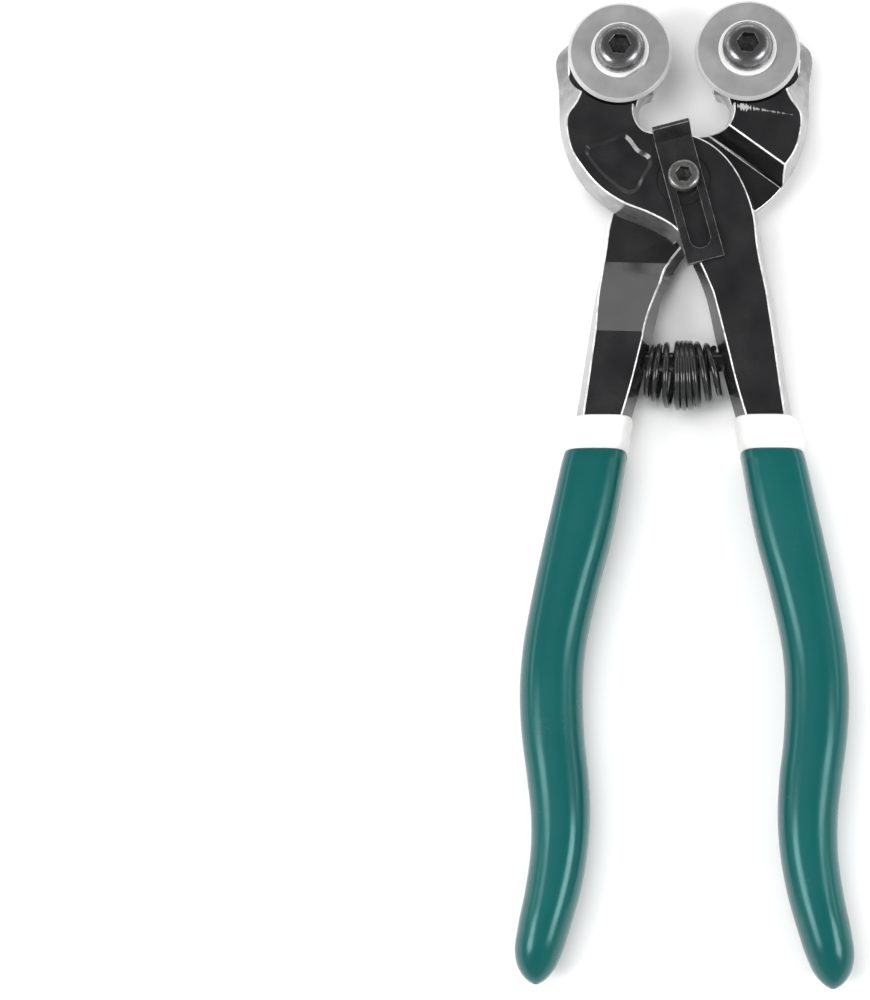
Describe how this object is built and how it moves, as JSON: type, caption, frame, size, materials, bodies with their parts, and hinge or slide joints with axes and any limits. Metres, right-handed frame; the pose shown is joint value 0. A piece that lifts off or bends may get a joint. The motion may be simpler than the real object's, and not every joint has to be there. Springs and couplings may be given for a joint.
{
  "type": "wheeled nipper pliers",
  "caption": "Black steel nipper pliers for glass and mosaic tile with round cutting wheels, a slotted gauge plate, a coil spring between the handles and dipped green grips over white collars.",
  "frame": {"origin": "on the pivot's axis, in the plane of the tool's flat back, at the back end of the pivot rivet", "axes": "+Y from the pivot to the jaws, along the tool; +Z out of the front, where the wheels and the gauge plate are; +X to the right seen from the front"},
  "size_m": [0.0676, 0.2042, 0.0204],
  "materials": {
    "enamelled_steel": "glossy black enamel on forged steel",
    "blackened_steel": "blackened and oiled",
    "carbide": "ground sintered carbide",
    "nickel": "bright nickel plate",
    "black_sheet": "satin black coating on bent sheet steel",
    "spring_wire": "black oxide on spring wire",
    "white_vinyl": "dipped white vinyl",
    "green_vinyl": "dipped teal-green vinyl"
  },
  "bodies": {
    "rear_half": {"rear_lever": "enamelled_steel", "left_sleeve": "white_vinyl", "left_grip": "green_vinyl", "right_wheel_washer": "nickel", "right_wheel_screw": "blackened_steel", "left_spring_peg": "enamelled_steel", "spring": "spring_wire"},
    "front_half": {"front_lever": "enamelled_steel", "pivot_rivet": "enamelled_steel", "right_sleeve": "white_vinyl", "right_grip": "green_vinyl", "left_wheel_washer": "nickel", "left_wheel_screw": "blackened_steel", "right_spring_peg": "enamelled_steel"},
    "left_wheel_body": {"left_wheel": "carbide"},
    "right_wheel_body": {"right_wheel": "carbide"},
    "gauge_clamp": {"gauge_screw": "nickel"},
    "gauge_slider": {"gauge_plate": "black_sheet"}
  },
  "joints": [
    {"name": "handle_squeeze", "type": "hinge", "parent": "rear_half", "child": "front_half", "pos_m": [0, 0, 0], "axis": [0, 0, -1], "range_deg": [0, 9], "stiffness_Nm_per_rad": 2.9, "deforming": ["spring"]},
    {"name": "left_wheel_turn", "type": "hinge", "parent": "front_half", "child": "left_wheel_body", "pos_m": [-0.0133, 0.0278, 0.0134], "axis": [0, 0, 1], "continuous": true},
    {"name": "right_wheel_turn", "type": "hinge", "parent": "rear_half", "child": "right_wheel_body", "pos_m": [0.0133, 0.0278, 0.0134], "axis": [0, 0, 1], "continuous": true},
    {"name": "gauge_swivel", "type": "hinge", "parent": "front_half", "child": "gauge_clamp", "pos_m": [0, 0, 0.0165], "axis": [0, 0, 1], "range_deg": [-14.5, 14.5]},
    {"name": "gauge_slide", "type": "slide", "parent": "gauge_clamp", "child": "gauge_slider", "axis": [-0.2504, 0.9681, 0], "range_m": [0, 0.01]}
  ]
}
